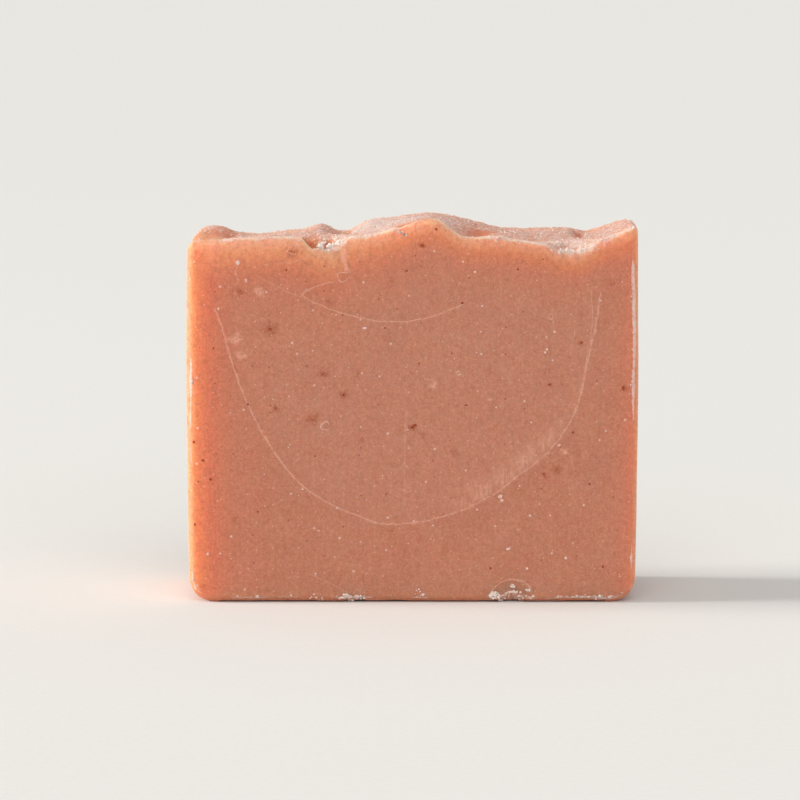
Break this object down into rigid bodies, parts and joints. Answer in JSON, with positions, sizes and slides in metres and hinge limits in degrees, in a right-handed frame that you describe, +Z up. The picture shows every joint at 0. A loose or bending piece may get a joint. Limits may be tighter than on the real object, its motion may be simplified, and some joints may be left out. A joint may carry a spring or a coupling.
{
  "type": "soap bar",
  "caption": "Loaf-cut bar of handmade soap with a spoon-worked, ash-dusted top, planed edges and chipped lips, standing on its moulded foot for washing.",
  "frame": {"origin": "middle of the flat foot that the bar stands on", "axes": "+X across the loaf, from wall to wall, +Y through the slice, away from the front cut face, +Z up towards the worked top"},
  "size_m": [0.08, 0.025, 0.0685],
  "materials": {
    "soap": "waxy matte, slightly translucent at the edges"
  },
  "bodies": {
    "root": {"soap_bar": "soap"}
  },
  "joints": []
}
